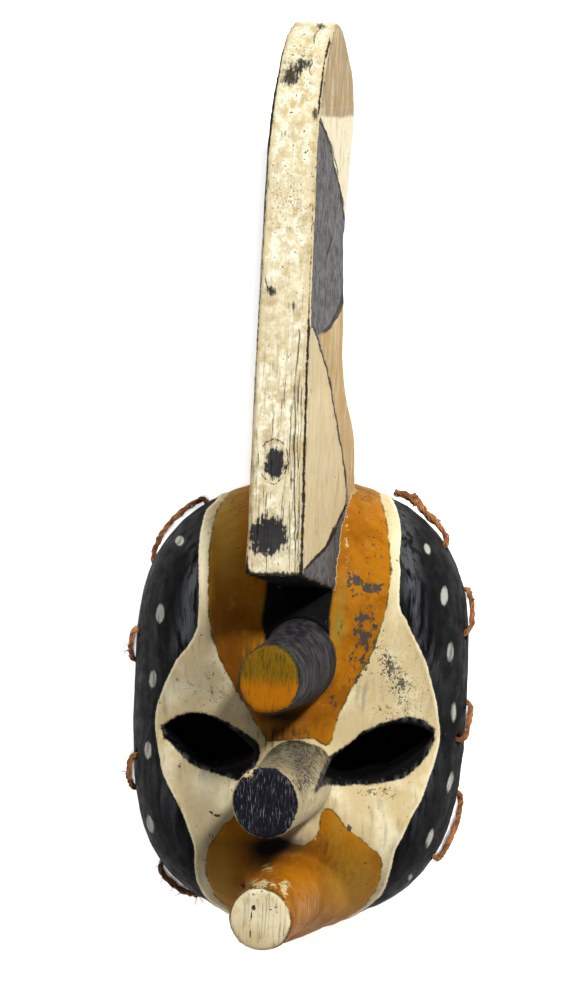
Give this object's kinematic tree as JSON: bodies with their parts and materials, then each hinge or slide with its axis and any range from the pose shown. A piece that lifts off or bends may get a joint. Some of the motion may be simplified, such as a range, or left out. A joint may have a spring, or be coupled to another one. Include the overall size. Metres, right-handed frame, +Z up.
{
  "type": "carved wooden yam mask",
  "caption": "Hollow carved wooden face mask with slit eyes, a tall knife blade rising from the forehead, round pegs down the middle and fibre cord laced round its rim.",
  "frame": {"origin": "middle of the whole mask's lowest level, with the mask lying on its back", "axes": "+Z up, out of the face; +Y from the chin to the tip of the blade; +X to the viewer's right"},
  "size_m": [0.1892, 0.4692, 0.1527],
  "materials": {
    "painted_wood": "matt earth paint in cream, ochre and black, worn to the wood",
    "plant_fibre": "dry twisted plant fibre"
  },
  "bodies": {
    "root": {"carved_mask": "painted_wood", "rim_lacing_right": "plant_fibre", "rim_lacing_left": "plant_fibre"}
  },
  "joints": []
}
